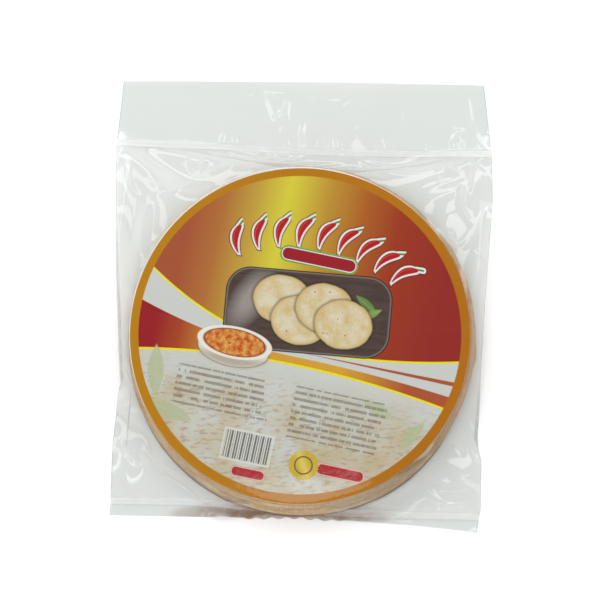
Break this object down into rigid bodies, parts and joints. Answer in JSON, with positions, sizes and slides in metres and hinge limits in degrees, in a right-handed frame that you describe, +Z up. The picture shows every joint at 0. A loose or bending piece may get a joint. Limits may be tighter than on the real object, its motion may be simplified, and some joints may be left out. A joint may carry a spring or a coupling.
{
  "type": "rice paper wrapper stack in a clear film bag",
  "caption": "Round stack of thin rice paper sheets under a printed card label, welded into a clear film bag with a loose mouth, lying flat.",
  "frame": {"origin": "bottom centre of the bag's box, on the surface it lies on", "axes": "+Z up through the label, +Y towards the loose mouth of the bag, +X to the right as the label is seen from above"},
  "size_m": [0.2495, 0.2998, 0.0188],
  "materials": {
    "film": "gloss",
    "rice_paper": "satin",
    "label_card": "satin"
  },
  "bodies": {
    "root": {"clear_bag": "film"}
  },
  "joints": []
}
